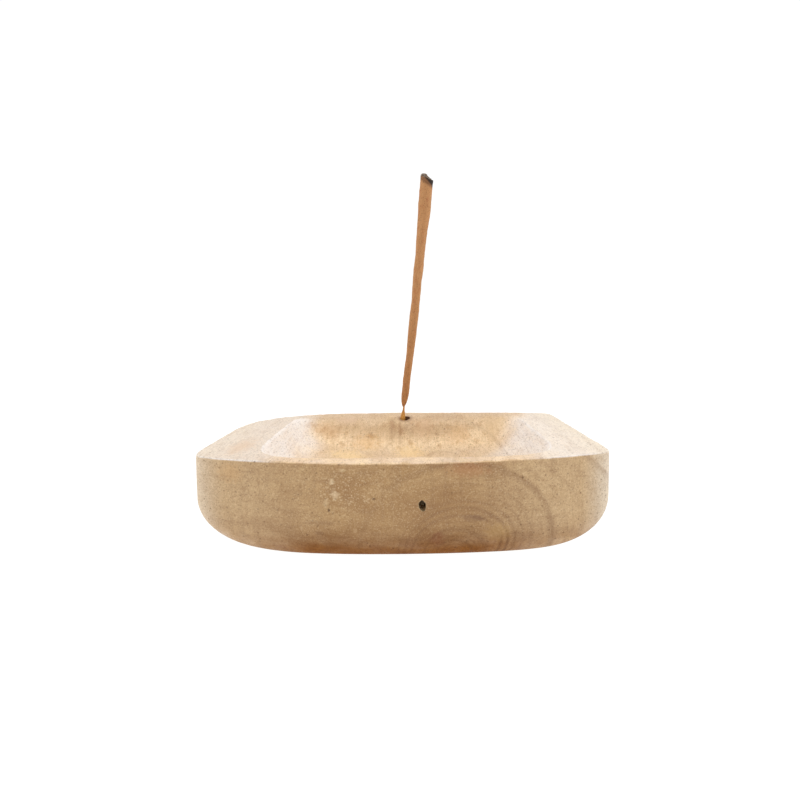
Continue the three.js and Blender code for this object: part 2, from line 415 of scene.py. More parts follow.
def pin_hole_cutter(material):
    """The beetle's hole: a slightly wavy oval that opens out at its lip.

    Its profile's radii are shares of the hole's width and height.
    """
    wall = [(0.48, -PIN_DEPTH + 1.2 * i, 0) for i in range(1, 5)]
    lip = [(0.5, -0.5, 0), (0.5, -0.25, 0), (0.54, 0, 0), (0.6, 0.4, 0), (0.6, 1.5, 0)]
    lean = Matrix.Rotation(math.radians(-PIN_LEAN), 4, "Y")
    outwards = Matrix.Rotation(math.radians(90), 4, "X")
    place = Matrix.Translation(Vector((PIN_X, FRONT_Y, PIN_Z)) * MM) @ lean @ outwards
    return rough_cutter("pin_cut", [(0.40, -PIN_DEPTH, 0), *wall, *lip], 0.10, place, material,
                        stretch=(PIN_WIDTH, PIN_HEIGHT))


def stick_hole_cutter(place, material):
    """The drilled hole for the stick. Its mouth is broken out towards +X."""
    drilled = [(BORE_RADIUS, -BORE_DEPTH + (BORE_DEPTH - MOUTH_DEPTH) * i / 6, 0) for i in range(7)]
    broken = [(1.65, -0.9, 0.45), (2.0, -0.2, 0.8)]
    mouth = [(MOUTH_RADIUS, 0.4, MOUTH_SHIFT), (MOUTH_RADIUS + 0.05, 2, MOUTH_SHIFT)]
    return rough_cutter("stick_cut", drilled + broken + mouth, 0.12, place, material)


def make_dish(stick_place, wood):
    """The carved block, with both holes cut into it."""
    angle = even_angles(BLOCK_SEGMENTS)
    outer = outer_rings(angle)
    inner = inner_rings(angle, outer[-1][:, :2])
    rings = soften_ridge(np.array(outer + inner))
    floor_z = BLOCK_HEIGHT - HOLLOW_DEPTH - FLOOR_SAG
    dish = closed_skin("wood_dish", (0, WAIST_Y, 0), rings, (*HOLLOW_CENTRE, floor_z))
    dish.data.materials.append(wood)
    weather_block(dish)
    smoked = bored_wood_material("smoked_wood", (44, 26, 14), (104, 66, 36))
    bored = bored_wood_material("bored_wood", (160, 136, 102), (226, 206, 172))
    cut_away(dish, stick_hole_cutter(stick_place, smoked))
    cut_away(dish, pin_hole_cutter(bored))
    mark_sharp_edges(dish, SHARP_EDGE)
    return dish


# ------------------------------------------------------------------------------------------- the stick

def stick_matrix():
    """From the stick's own frame to the part's."""
    turn = Vector((0, 0, 1)).rotation_difference(STICK_DIRECTION)
    return Matrix.Translation(STICK_FOOT * MM) @ turn.to_matrix().to_4x4()


def body_radius(height):
    """The rolled paste's even radius: a slow swell, quicker just below the burnt end."""
    swell = np.clip((height - PASTE_FOOT) / (PASTE_TOP - PASTE_FOOT), 0, 1)
    return LOW_RADIUS + (HIGH_RADIUS - LOW_RADIUS) * (0.4 * swell + 0.6 * swell ** 5)


def rolled_radius(angle, height):
    """The hand-rolled surface: the foot pinched in to the splint, and uneven all the way up."""
    body = body_radius(height)
    pinch = 1 - np.exp(-np.maximum(height - PASTE_FOOT, 0) / 1.9)
    near = np.stack([np.cos(angle) * body, np.sin(angle) * body, height], -1)
    uneven = 0.13 * waves(near, (3, 3, 10), 11) + 0.05 * waves(near, (1.2, 1.2, 2.6), 12, octaves=3)
    for level, half, side, swell in PASTE_LUMPS:
        facing = np.maximum(0, np.cos(angle - math.radians(side)))
        uneven = uneven + swell * facing * np.exp(-((height - level) / half) ** 4)
    return NECK_RADIUS + (body * (1 + uneven) - NECK_RADIUS) * pinch


def bend(height):
    """How far the paste's middle stands off the stick's axis: a slight bow, and a foot that hangs left."""
    up = np.clip((height - PASTE_FOOT) / (PASTE_TOP - PASTE_FOOT), 0, 1)
    return 0.28 * np.sin(math.pi * up) ** 2 - 0.22 * np.exp(-np.maximum(height - PASTE_FOOT, 0) / 3)


def slanted(line, x, ragged, seed, angle):
    """Height of a slanted, ragged line round the stick."""
    level, tilt = line
    ring = np.stack([np.cos(angle) * 2, np.sin(angle) * 2, np.full(len(angle), level)], -1)
    wander = waves(ring, 1.1, seed, octaves=3)
    return level - math.tan(math.radians(tilt)) * x + ragged * wander


def around():
    """The angles of a ring round the stick."""
    return np.arange(STICK_SEGMENTS) / STICK_SEGMENTS * TURN


def wall_ring(angle, height, shrink=1.0):
    """A ring of points on the rolled surface at heights that may differ round the ring."""
    radius = rolled_radius(angle, height) * shrink
    return np.stack([radius * np.cos(angle) + bend(height), radius * np.sin(angle), height], -1)


def cap_rings(rim, middle, steps, lumps, seed):
    """Rings that close a ragged rim in to its middle point, with lumps of a given height."""
    rings = []
    for i in range(1, steps):
        share = i / steps
        ring = rim + (middle - rim) * share
        ring[:, 2] += lumps * waves(ring, 0.7, seed, octaves=3) * math.sin(math.pi * min(1, share + 0.2))
        rings.append(ring)
    return rings


def band(name, low, high, rows, place, lumps=(0.0, 0.0), seed=1):
    """A closed length of the rolled stick between two ragged heights, capped at both ends."""
    angle = around()
    wall = [wall_ring(angle, low + (high - low) * i / rows) for i in range(rows + 1)]
    bottom_middle, top_middle = wall[0].mean(0), wall[-1].mean(0)
    under = cap_rings(wall[0], bottom_middle, 5, lumps[0], seed)[::-1]
    over = cap_rings(wall[-1], top_middle, 8, lumps[1], seed + 1)
    return closed_skin(name, bottom_middle, [*under, *wall, *over], top_middle, place)


def edge_x(angle):
    """How far towards +X the stick's surface stands near its top."""
    return HIGH_RADIUS * np.cos(angle)


def burn_edge(angle):
    """Where the paste ends and the char begins."""
    return slanted(BURN_LINE, edge_x(angle), 0.30, 21, angle)


def ash_edge(angle):
    """Where the char ends and the ash begins."""
    return slanted(ASH_LINE, edge_x(angle), 0.35, 22, angle)


def make_paste(place, material):
    """The hand-rolled paste, from its ragged foot to where the burning stopped."""
    angle = around()
    ring = np.stack([np.cos(angle), np.sin(angle), np.zeros(STICK_SEGMENTS)], -1)
    foot = PASTE_FOOT + 0.25 * waves(ring, 0.8, 23)
    paste = band("rolled_paste", foot, burn_edge(angle), PASTE_ROWS, place)
    paste.data.materials.append(material)
    return paste


def make_char(place, material):
    """The char ring, which starts just inside the paste."""
    angle = around()
    low, high = burn_edge(angle) - 0.05, ash_edge(angle)
    char = band("char_ring", low, high, CHAR_ROWS, place, lumps=(0.0, 0.1), seed=31)
    char.data.materials.append(material)
    return char


def ash_height(x, angle):
    """The ash's wall ends where the domed end or the slanted break is lower."""
    broken = slanted(TIP_CUT, x, 0.45, 24, angle)
    return np.minimum(broken, TIP_TOP - TIP_DOME)


def make_ash(place, material):
    """The crust of ash: it starts just inside the char and draws in to a lumpy dome and a slanted break."""
    angle = around()
    low = ash_edge(angle) - 0.05
    high = np.maximum(ash_height(edge_x(angle), angle), low + 0.25)
    wall = []
    for i in range(ASH_ROWS + 1):
        share = i / ASH_ROWS
        shrink = 1 - 0.22 * share ** 3
        wall.append(wall_ring(angle, low + (high - low) * share, shrink))
    middle_low, middle_high = wall[0].mean(0), wall[-1].mean(0) + (0, 0, 0.35)
    under = cap_rings(wall[0], middle_low, 5, 0, 41)[::-1]
    over = cap_rings(wall[-1], middle_high, 10, 0.4, 42)
    ash = closed_skin("ash_crust", middle_low, [*under, *wall, *over], middle_high, place)
    ash.data.materials.append(material)
    return ash


def splint_radius(height):
    """The split-bamboo core: a butt that stands in the hole, a cone, a thin neck, then a straight core."""
    cone = np.interp(height, [0.2, 1.6, NECK_HEIGHT - 0.5, NECK_HEIGHT + 0.6],
                     [BUTT_RADIUS, 0.78, NECK_RADIUS + 0.06, NECK_RADIUS])
    return np.where(height > PASTE_FOOT + 1, CORE_RADIUS, cone)


def make_splint(place, material):
    """The split-bamboo core, with rings set closest where it shows between the wood and the paste."""
    angle = np.arange(SPLINT_SEGMENTS) / SPLINT_SEGMENTS * TURN
    bottom = -BORE_DEPTH + BUTT_GAP
    in_hole = np.linspace(bottom, 0, 16)
    in_sight = np.linspace(0.15, 7, 36)
    in_paste = np.linspace(9, CORE_TOP - 1.4, 30)
    heights = np.concatenate([in_hole, in_sight, in_paste])
    rings = []
    for height in heights:
        level = np.full(SPLINT_SEGMENTS, height)
        near = np.stack([np.cos(angle) * 0.9, np.sin(angle) * 0.9, level], -1)
        radius = splint_radius(level) * (1 + 0.16 * waves(near, (0.5, 0.5, 6), 51, octaves=2))
        rings.append(np.stack([radius * np.cos(angle), radius * np.sin(angle), level], -1))
    splint = closed_skin("bamboo_splint", (0, 0, bottom), rings, (0, 0, heights[-1]), place)
    splint.data.materials.append(material)
    return splint


# ------------------------------------------------------------------------------------------- materials

def srgb(red, green, blue):
    """A display colour, 0 to 255, as the linear colour that a shader takes."""
    def linear(value):
        value /= 255
        return value / 12.92 if value <= 0.04045 else ((value + 0.055) / 1.055) ** 2.4
    return (linear(red), linear(green), linear(blue), 1.0)


OFF_LATTICE = (0.37, 0.21, 0.43)  # keeps a noise's regular lattice off the part's own planes


class Shader:
    """Adds nodes to a new material and wires them. Inputs are sockets or plain values."""

    def __init__(self, name, roughness=0.6, specular=0.4):
        self.material = bpy.data.materials.new(name)
        self.material.use_nodes = True
        self.tree = self.material.node_tree
        self.surface = self.tree.nodes["Principled BSDF"]
        self.surface.inputs["Roughness"].default_value = roughness
        self.surface.inputs["Specular IOR Level"].default_value = specular
        coordinates = self.tree.nodes.new("ShaderNodeTexCoord")
        self.normal = coordinates.outputs["Normal"]
        self.place = self.vector("SCALE", coordinates.outputs["Object"], scale=1 / MM)

    def node(self, kind, inputs, **settings):
        node = self.tree.nodes.new(kind)
        for key, value in settings.items():
            setattr(node, key, value)
        for key, value in inputs.items():
            if isinstance(value, bpy.types.NodeSocket):
                self.tree.links.new(value, node.inputs[key])
            else:
                node.inputs[key].default_value = value
        return node

    def vector(self, operation, a, b=(0, 0, 0), scale=1.0):
        inputs = {0: a, "Scale": scale} if operation == "SCALE" else {0: a, 1: b}
        node = self.node("ShaderNodeVectorMath", inputs, operation=operation)
        return node.outputs["Value" if operation == "LENGTH" else "Vector"]

    def split(self, vector):
        """The X, Y and Z of a vector."""
        return self.node("ShaderNodeSeparateXYZ", {0: vector}).outputs

    def math(self, operation, a, b=0.0):
        return self.node("ShaderNodeMath", {0: a, 1: b}, operation=operation).outputs[0]

    def plus(self, a, b):
        return self.math("ADD", a, b)

    def times(self, a, b):
        return self.math("MULTIPLY", a, b)

    def remap(self, value, low, high, to_low=0.0, to_high=1.0):
        """Smoothly takes low to to_low and high to to_high, and holds those values beyond them."""
        inputs = {"Value": value, "From Min": low, "From Max": high, "To Min": to_low, "To Max": to_high}
        return self.node("ShaderNodeMapRange", inputs, interpolation_type="SMOOTHSTEP").outputs["Result"]

    def noise(self, size, detail=3.0, roughness=0.55, offset=(0, 0, 0), distortion=0.0):
        """Noise from 0 to 1. size is its wavelength in millimetres along each axis."""
        scaled = self.vector("MULTIPLY", self.place, tuple(1 / s for s in size))
        moved = self.vector("ADD", scaled, tuple(o + a for o, a in zip(offset, OFF_LATTICE)))
        inputs = {"Vector": moved, "Scale": 1.0, "Detail": detail, "Roughness": roughness,
                  "Distortion": distortion}
        return self.node("ShaderNodeTexNoise", inputs).outputs["Fac"]

    def dots(self, size, spread, offset=(0, 0, 0)):
        """1 inside small grains that are scattered one to a cell, 0 outside. spread is a grain's share."""
        scaled = self.vector("MULTIPLY", self.place, tuple(1 / s for s in size))
        moved = self.vector("ADD", scaled, offset)
        cells = self.node("ShaderNodeTexVoronoi", {"Vector": moved, "Scale": 1.0, "Randomness": 1.0})
        return self.remap(cells.outputs["Distance"], spread, spread * 0.45)

    def mix(self, factor, a, b, blend="MIX"):
        """Mixes two colours. A colour mix has its sockets at 0, 6 and 7, and its result at 2."""
        inputs = {0: factor, 6: a, 7: b}
        return self.node("ShaderNodeMix", inputs, data_type="RGBA", blend_type=blend).outputs[2]

    def ramp(self, value, stops):
        """Reads a value through stops of (position, brightness)."""
        node = self.node("ShaderNodeValToRGB", {"Fac": value})
        elements = node.color_ramp.elements
        while len(elements) > 1:
            elements.remove(elements[-1])
        elements[0].position = stops[0][0]
        elements[0].color = (stops[0][1],) * 3 + (1,)
        for position, brightness in stops[1:]:
            elements.new(position).color = (brightness,) * 3 + (1,)
        return node.outputs["Color"]

    def finish(self, colour, roughness=None, height=None, bump=0.5, depth=0.1):
        """Connects the colour, roughness and bump. depth is the bump's height in millimetres."""
        self.tree.links.new(colour, self.surface.inputs["Base Color"])
        if roughness is not None:
            self.tree.links.new(roughness, self.surface.inputs["Roughness"])
        if height is not None:
            inputs = {"Height": height, "Strength": bump, "Distance": depth * MM}
            self.tree.links.new(self.node("ShaderNodeBump", inputs).outputs["Normal"],
                                self.surface.inputs["Normal"])
        return self.material


# The tree's pith runs along Y under the right of the hollow. Each growth ring: radius, half width, darkness.
PITH = (15.0, 0.0, 3.3)
RING_REACH = 80.0
GROWTH_RINGS = (
    (5.0, 1.2, 0.3), (8.6, 1.0, 0.5), (12.4, 0.8, 0.7), (14.3, 0.8, 0.9),
    (16.2, 0.8, 0.55), (18.6, 0.6, 0.3), (21.2, 0.8, 0.35), (24.2, 0.8, 0.15),
    (27.4, 2.0, 0.75), (31.5, 1.0, 0.2), (36.0, 1.6, 0.25), (41.0, 1.4, 0.2),
    (46.5, 1.8, 0.45), (51.0, 1.2, 0.2), (55.5, 1.8, 0.45), (60.5, 1.5, 0.4),
)

# Marks on the front face, each an uneven patch: x, z, half width, half height, colour, strength.
FRONT_MARKS = (
    (18.0, 27.0, 6.0, 2.2, (176, 116, 78), 0.34),    # reddish, under the rim
    (9.7, 7.5, 2.2, 2.8, (156, 92, 72), 0.34),       # reddish, by the foot
    (26.0, 9.0, 4.0, 3.0, (212, 176, 112), 0.34),    # yellow
    (16.5, 16.0, 11.0, 9.0, (148, 110, 72), 0.30),   # darker wood round the rings
    (20.0, 13.8, 4.4, 1.0, (112, 80, 66), 0.36),     # purplish smudge inside the rings
    (-21.7, 12.7, 4.6, 0.9, (126, 92, 68), 0.30),    # dark smears
    (-22.0, 9.6, 1.6, 1.0, (118, 84, 64), 0.32),
    (-38.0, 12.0, 8.0, 2.4, (146, 108, 74), 0.32),
    (-31.0, 20.0, 2.0, 6.0, (150, 114, 78), 0.22),
    (-47.0, 25.5, 4.0, 3.0, (208, 166, 116), 0.35),  # orange
    (-19.2, 16.4, 0.35, 0.4, (84, 58, 40), 0.8),     # single dark pores
    (-7.2, 19.6, 0.5, 0.3, (90, 62, 44), 0.7),
    (32.7, 24.1, 0.35, 0.4, (96, 66, 44), 0.7),
    (-18.2, 24.2, 0.8, 0.9, (234, 208, 168), 0.5),   # pale flecks
    (-17.4, 20.6, 1.1, 1.2, (232, 206, 170), 0.45),
    (-20.0, 18.4, 0.7, 1.2, (226, 200, 160), 0.4),
    (-15.4, 27.2, 0.8, 0.5, (224, 198, 156), 0.5),
    (-27.0, 11.0, 0.4, 1.0, (220, 192, 152), 0.4),
    (-12.3, 10.6, 0.6, 0.7, (224, 196, 154), 0.4),
)

# Marks on the top and in the hollow: x, y, half width, half length, colour, strength.
TOP_MARKS = (
    (-48.5, -26.0, 3.6, 15.0, (204, 172, 140), 0.5),  # tan, outside the left ridge
    (-30.0, 38.0, 7.0, 4.0, (190, 148, 104), 0.5),    # brown patches on the back wall
    (-14.0, 35.0, 6.0, 3.5, (212, 166, 106), 0.4),
    (-22.0, 44.0, 6.0, 3.0, (204, 172, 146), 0.4),
    (8.0, 41.0, 5.0, 4.0, (202, 162, 124), 0.4),
    (22.0, 37.0, 5.0, 4.0, (206, 162, 110), 0.4),
    (36.0, 38.0, 5.0, 7.0, (196, 164, 124), 0.5),
    (-20.0, 26.0, 7.0, 5.0, (240, 206, 146), 0.4),    # yellow patches below it
    (3.0, 29.0, 6.0, 5.0, (238, 202, 140), 0.4),
    (-4.0, 40.0, 1.4, 5.0, (150, 108, 70), 0.35),     # streaks below the stick's hole: a faint stain and the stick's painted shadow
    (-1.0, 38.0, 0.9, 6.0, (156, 114, 76), 0.3),
)


def ring_tone(s):
    """How dark the growth rings are at a place, from their distance to the pith. They wander a little."""
    warp = s.math("SUBTRACT", s.noise((30, 90, 20), 1.0), 0.5)
    shifts = {"X": s.times(warp, 6.0), "Y": 0.0, "Z": s.times(warp, 4.0)}
    wander = s.node("ShaderNodeCombineXYZ", shifts).outputs[0]
    from_pith = s.vector("SUBTRACT", s.vector("ADD", s.place, wander), PITH)
    across = s.vector("MULTIPLY", from_pith, (1, 0, 1.08))
    radius = s.vector("LENGTH", across)
    share = s.math("DIVIDE", radius, RING_REACH)
    half = len(GROWTH_RINGS) // 2
    rings = s.plus(s.ramp(share, ring_stops(GROWTH_RINGS[:half])),
                   s.ramp(share, ring_stops(GROWTH_RINGS[half:])))
    patchy = s.remap(s.noise((8, 40, 8), 3.0, offset=(5, 5, 5)), 0.32, 0.62, 0.6, 1.0)
    hairlines = s.remap(s.noise((40, 200, 40), 1.0), 0.3, 0.7, 3.6, 5.2)
    fine = s.remap(s.math("SINE", s.times(radius, hairlines)), 0.3, 1.0, 0.0, 0.22)
    near_pith = s.remap(radius, 30, 12)
    return s.times(s.plus(rings, s.times(fine, near_pith)), patchy)


def ring_stops(rings):
    """Ramp stops that are dark at each ring, with a slow start and a quick end."""
    stops = [(0.0, 0.0)]
    for radius, half, darkness in rings:
        stops += [((radius - half) / RING_REACH, 0.0), (radius / RING_REACH, darkness)]
        stops += [((radius + half * 0.6) / RING_REACH, 0.0)]
    return stops


def patch(s, a, b, mark, blur):
    """1 inside an uneven patch of two coordinates a and b, fading to 0 at its edge."""
    at_a, at_b, half_a, half_b = mark[:4]
    off_a = s.math("DIVIDE", s.math("SUBTRACT", a, at_a), half_a)
    off_b = s.math("DIVIDE", s.math("SUBTRACT", b, at_b), half_b)
    square = s.plus(s.times(off_a, off_a), s.times(off_b, off_b))
    return s.remap(s.plus(s.math("SQRT", square), blur), 1.35, 0.25)


def painted(s, colour, marks, a, b, where):
    """Paints a list of marks over a colour, only where a mask is 1."""
    blur = s.times(s.math("SUBTRACT", s.noise((1.2, 3, 0.9), 4.0, 0.65, (8, 3, 2)), 0.5), 2.2)
    for mark in marks:
        inside = s.times(patch(s, a, b, mark, blur), where)
        colour = s.mix(s.times(inside, mark[5]), colour, srgb(*mark[4]))
    return colour


def pale_flecks(s, colour, front):
    """A cluster of fine pale flecks on the left of the front face."""
    from_middle = s.vector("SUBTRACT", s.place, (-14, FRONT_Y, 21.5))
    off = s.vector("MULTIPLY", from_middle, (0.08, 0, 0.14))
    cluster = s.times(s.remap(s.vector("LENGTH", off), 1.1, 0.2), front)
    coarse = s.dots((1.5, 9, 1.1), 0.32, (2, 0, 7))
    fine = s.dots((0.8, 9, 0.7), 0.30, (6, 1, 3))
    flecks = s.times(s.math("MAXIMUM", coarse, fine), cluster)
    return s.mix(s.times(flecks, 0.4), colour, srgb(234, 208, 170))


class BlockPlace:
    """Where a point is on the block: its coordinates, and masks for the faces that it may be on."""

    def __init__(self, s):
        self.x, self.y, self.z = s.split(s.place)
        facing = s.split(s.normal)
        self.end_grain = s.remap(s.math("ABSOLUTE", facing[1]), 0.6, 0.97)
        self.front = s.times(s.remap(facing[1], -0.4, -0.8), s.remap(self.y, -28, -36))
        self.upward = s.remap(facing[2], 0.3, 0.6)
        at_top = s.remap(self.z, BLOCK_HEIGHT - 4, BLOCK_HEIGHT - 1)
        self.flat = s.times(s.remap(facing[2], 0.95, 0.99), at_top)
        near_back = s.remap(self.y, 28, 36)
        below_rim = s.remap(self.z, BLOCK_HEIGHT - 0.5, BLOCK_HEIGHT - 3)
        self.back_wall = s.times(s.times(near_back, below_rim), self.upward)
        self.hollow_floor = s.times(s.remap(self.z, 21, 16), self.upward)


def long_grain(s, at):
    """The colour of faces along the grain: mottled, duller on the hollow's floor, lined on its back wall,
    and lightened there as painted light.
    """
    uneven = s.remap(s.noise((5, 12, 5), 4.0, distortion=0.6), 0.3, 0.7)
    colour = s.mix(uneven, srgb(230, 203, 167), srgb(206, 173, 133))
    pink = s.remap(s.noise((9, 12, 9), 2.0, offset=(4, 1, 6), distortion=0.8), 0.52, 0.7, 0.0, 0.5)
    colour = s.mix(pink, colour, srgb(216, 190, 168))
    yellow = s.remap(s.noise((7, 11, 7), 2.0, offset=(7, 4, 1), distortion=0.8), 0.54, 0.7, 0.0, 0.5)
    colour = s.mix(yellow, colour, srgb(232, 201, 150))
    colour = s.mix(s.times(at.flat, 0.35), colour, srgb(206, 182, 160))
    colour = s.mix(s.times(at.hollow_floor, 0.7), colour, srgb(199, 172, 141))
    # Painted light: the hollow's back wall is lightened.
    colour = s.mix(s.times(at.back_wall, 0.75), colour, srgb(240, 213, 174))
    lines = s.remap(s.noise((0.9, 40, 40), 3.0, 0.6, (2, 5, 5)), 0.45, 0.66, 0.0, 0.26)
    mottles = s.remap(s.noise((3.4, 9, 3.4), 4.0, 0.6, (8, 5, 1)), 0.50, 0.66, 0.0, 0.6)
    marks = s.times(s.math("MAXIMUM", lines, mottles), at.back_wall)
    return s.mix(marks, colour, srgb(176, 130, 80))


def sapwood_with_painted_light(s, colour, at, wavy, heart):
    """Pale wood on both sides of the brown heart, paler still towards the block's ends. On the tops the pale
    wood is whitened as a painted sheen, and at the very ends it is paler as sapwood and as painted side
    light.
    """
    outside = s.math("SUBTRACT", 1.0, heart)
    pale_sheen_flat = s.mix(s.remap(at.x, -20, 20), srgb(208, 195, 182), srgb(220, 210, 199))
    pale_sheen_wood = s.mix(at.flat, srgb(227, 222, 219), pale_sheen_flat)
    # Pale sapwood on the tops, whitened as a painted sheen.
    sapwood_and_sheen = s.times(s.times(outside, at.upward), 0.85)
    colour = s.mix(sapwood_and_sheen, colour, pale_sheen_wood)
    towards_ends = s.plus(s.remap(wavy, -8, -44), s.remap(wavy, 20, 48))
    pale_end = s.times(s.times(towards_ends, at.end_grain), 0.65)
    colour = s.mix(pale_end, colour, srgb(208, 179, 140))
    # Paler at the very ends: pale sapwood and painted side light.
    pale_ends_and_side_light = s.plus(s.remap(at.x, -48, -59), s.remap(at.x, 49, 59, 0.0, 1.6))
    return s.mix(s.times(pale_ends_and_side_light, 0.5), colour, srgb(216, 203, 184))


def wood_base(s, at):
    """The wood's colour before its markings: darker on end grain, brown at the heart and pale outside it,
    with a painted sheen on the tops and painted side light at the ends.
    """
    uneven = s.remap(s.noise((12, 60, 8), 4.0, offset=(3, 0, 1)), 0.3, 0.7)
    end_colour = s.mix(uneven, srgb(186, 151, 107), srgb(164, 127, 86))
    colour = s.mix(at.end_grain, long_grain(s, at), end_colour)
    sway = s.times(s.noise((14, 20, 14), 3.0, offset=(1, 6, 2)), 12.0)
    wavy = s.plus(at.x, sway)
    right = s.math("SUBTRACT", wavy, s.remap(at.y, 18, 42, 0.0, 9.0))
    heart = s.times(s.remap(wavy, -35, -23), s.remap(right, 51, 35))
    # Pale sapwood, with a painted sheen on the tops and painted side light at the ends.
    colour = sapwood_with_painted_light(s, colour, at, wavy, heart)
    # Smoke and handling have darkened the top of the back wall and the shelf behind it.
    smoked = s.times(s.times(s.remap(at.y, 36, 46), heart), at.upward)
    return s.mix(s.times(smoked, 0.7), colour, srgb(186, 157, 124))


def wood_pores(s, at):
    """Pores along the grain: dots on end grain, short dashes on long grain, and more towards the sides."""
    sideways = s.times(s.math("ABSOLUTE", at.x), 0.004)
    crowded = s.plus(s.noise((20, 40, 14), 2.0, offset=(4, 9, 2)), sideways)
    dense = s.remap(crowded, 0.35, 0.65, 0.35, 1.0)
    small = s.times(s.dots((0.7, 2.4, 0.7), 0.32), 0.6)
    large = s.dots((2.1, 4, 2.1), 0.17, (5, 3, 1))
    return s.times(s.math("MAXIMUM", small, large), dense)


def smudges(s, colour, end_grain):
    """Faint level smears and upright bands that cross the end grain."""
    level = s.remap(s.noise((7, 60, 1.3), 4.0, 0.6, (3, 2, 9)), 0.5, 0.72, 0.0, 0.34)
    upright = s.remap(s.noise((2.2, 60, 16), 3.0, 0.6, (9, 4, 3)), 0.52, 0.7, 0.0, 0.26)
    colour = s.mix(s.times(level, end_grain), colour, srgb(140, 104, 72))
    return s.mix(s.times(upright, end_grain), colour, srgb(146, 112, 80))


def painted_lower_shade(s, colour, at):
    """Darkens the lower edge to a deep brown, most of all in its middle, as painted shade where the
    underside gets little light, and takes its sheen off.
    """
    uneven = s.plus(at.z, s.times(s.noise((14, 14, 5), 4.0), 7.0))
    left, right = s.remap(at.x, -48, -22, 0.45, 1.0), s.remap(at.x, 46, 18, 0.5, 1.0)
    # Painted shade: darker towards the bottom, where the underside gets little light.
    shade_amount = s.times(s.remap(uneven, 19.0, 5.0), s.times(left, right))
    s.tree.links.new(s.remap(shade_amount, 0.0, 0.8, 0.2, 0.02), s.surface.inputs["Specular IOR Level"])
    return s.mix(shade_amount, colour, (0.32, 0.16, 0.045, 1), "MULTIPLY")


def wood_material():
    """The pale wood: its base colour, then rings, grain, pores, marks, painted shade on the lower edge, and
    tints round the holes.
    """
    s = Shader("pale_sheen_wood")
    at = BlockPlace(s)
    colour = wood_base(s, at)
    near_pith = s.remap(at.x, -4, 16, 0.3, 0.82)
    clear = s.times(near_pith, s.remap(at.upward, 0.0, 1.0, 1.0, 0.4))
    colour = s.mix(s.times(ring_tone(s), clear), colour, srgb(134, 100, 72))
    streaks = s.noise((1.0, 9, 1.0), 4.0, 0.6, offset=(2, 1, 8))
    colour = s.mix(s.remap(streaks, 0.46, 0.72, 0.0, 0.24), colour, srgb(152, 112, 72))
    colour = smudges(s, colour, at.end_grain)
    pores = wood_pores(s, at)
    colour = s.mix(s.times(pores, 0.5), colour, srgb(98, 70, 46))
    fibre = s.noise((0.42, 1.4, 0.42), 3.0, 0.75, offset=(7, 7, 0))
    colour = s.mix(s.remap(fibre, 0.50, 0.74, 0.0, 0.42), colour, srgb(240, 216, 176))
    colour = s.mix(s.remap(fibre, 0.50, 0.28, 0.0, 0.42), colour, srgb(134, 98, 64))
    colour = painted(s, colour, FRONT_MARKS, at.x, at.z, at.front)
    colour = painted(s, colour, TOP_MARKS, at.x, at.y, at.upward)
    colour = pale_flecks(s, colour, at.front)
    # Painted shade on the lower edge.
    colour = painted_lower_shade(s, colour, at)
    colour = rubbed_round(s, colour, (PIN_X, FRONT_Y, PIN_Z), 1.2, 2.2, srgb(214, 186, 146), 0.3)
    mouth = STICK_FOOT + Vector((MOUTH_SHIFT, 0, 0))
    colour = rubbed_round(s, colour, tuple(mouth), 1.8, 4.5, srgb(120, 76, 44), 0.7)

    raised = s.plus(s.times(streaks, 0.4), s.times(fibre, 0.4))
    height = s.math("SUBTRACT", raised, pores)
    rough = s.remap(s.noise((5, 14, 5), 3.0, offset=(1, 4, 6)), 0.3, 0.7, 0.46, 0.66)
    return s.finish(colour, rough, height, bump=0.35, depth=0.12)


def rubbed_round(s, colour, centre, near, far, tone, amount):
    """Tints the wood round a hole, fading out from near to far millimetres."""
    distance = s.vector("LENGTH", s.vector("SUBTRACT", s.place, centre))
    uneven = s.plus(distance, s.noise((1.2, 1.2, 1.2), 3.0))
    return s.mix(s.times(s.remap(uneven, far, near), amount), colour, tone)


def bored_wood_material(name, dark, light):
    """The wood inside a hole, between a dark and a light display colour."""
    s = Shader(name, roughness=0.9, specular=0.2)
    grime = s.noise((0.6, 0.6, 0.6), 4.0)
    colour = s.mix(s.remap(grime, 0.3, 0.7), srgb(*dark), srgb(*light))
    return s.finish(colour, None, grime, bump=0.6, depth=0.15)


def bamboo_material():
    """Golden split bamboo: fine fibres along the stick and a few brown patches."""
    s = Shader("golden_bamboo", specular=0.5)
    fibres = s.noise((0.14, 0.14, 5), 4.0)
    colour = s.mix(s.remap(fibres, 0.3, 0.7), srgb(176, 112, 32), srgb(228, 170, 84))
    patches = s.remap(s.noise((0.8, 0.8, 1.6), 2.0, offset=(2, 3, 1)), 0.5, 0.7)
    colour = s.mix(s.times(patches, 0.5), colour, srgb(120, 66, 22))
    rough = s.remap(fibres, 0.3, 0.7, 0.4, 0.6)
    return s.finish(colour, rough, fibres, bump=0.5, depth=0.06)


